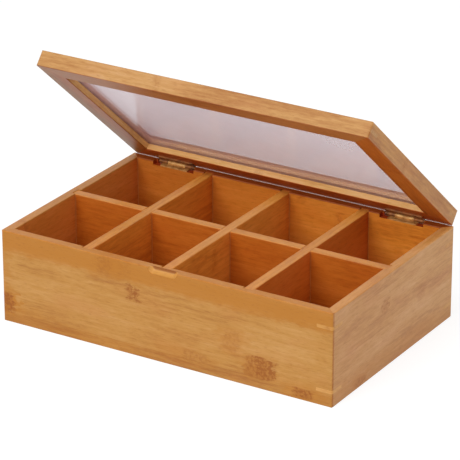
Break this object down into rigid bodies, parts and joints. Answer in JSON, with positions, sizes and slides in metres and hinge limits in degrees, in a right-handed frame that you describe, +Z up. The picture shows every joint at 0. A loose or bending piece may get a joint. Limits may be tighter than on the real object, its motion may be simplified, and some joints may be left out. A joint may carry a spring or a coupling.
{
  "type": "tea bag organizer box",
  "caption": "Low bamboo box with mitred, keyed corners, a grid of open compartments for tea bags, and a hinged framed lid with a clear window.",
  "frame": {"origin": "centre of the box's underside, on the surface it stands on", "axes": "+X to the box's right along its width, +Y to the rear where the hinges are, +Z up"},
  "size_m": [0.32, 0.2149, 0.2237],
  "materials": {
    "bamboo_wall": "satin lacquer",
    "bamboo_divider": "satin lacquer",
    "bamboo_key": "satin lacquer",
    "bamboo_lid": "satin lacquer",
    "bamboo_panel": "satin lacquer",
    "clear_acrylic": "clear, polished",
    "hinge_brass": "bright, lightly aged",
    "screw_brass": "bright"
  },
  "bodies": {
    "box": {"front_wall": "bamboo_wall", "rear_wall": "bamboo_wall", "left_wall": "bamboo_wall", "right_wall": "bamboo_wall", "bottom_panel": "bamboo_panel", "keys_front_left": "bamboo_key", "keys_front_right": "bamboo_key", "keys_rear_left": "bamboo_key", "keys_rear_right": "bamboo_key", "long_divider": "bamboo_divider", "cross_divider_left": "bamboo_divider", "cross_divider_middle": "bamboo_divider", "cross_divider_right": "bamboo_divider", "hinge_left_box_leaf": "hinge_brass", "hinge_left_pin": "hinge_brass", "hinge_left_box_screws": "screw_brass", "hinge_right_box_leaf": "hinge_brass", "hinge_right_pin": "hinge_brass", "hinge_right_box_screws": "screw_brass"},
    "lid": {"lid_front_rail": "bamboo_lid", "lid_rear_rail": "bamboo_lid", "lid_left_rail": "bamboo_lid", "lid_right_rail": "bamboo_lid", "lid_key_front_left": "bamboo_key", "lid_key_front_right": "bamboo_key", "lid_key_rear_left": "bamboo_key", "lid_key_rear_right": "bamboo_key", "window_pane": "clear_acrylic", "hinge_left_lid_leaf": "hinge_brass", "hinge_left_lid_screws": "screw_brass", "hinge_right_lid_leaf": "hinge_brass", "hinge_right_lid_screws": "screw_brass"}
  },
  "joints": [
    {"name": "lid_hinge", "type": "hinge", "parent": "box", "child": "lid", "pos_m": [0, 0.1015, 0.08135], "axis": [-1, 0, 0], "range_deg": [-40.75, 54.25]}
  ]
}
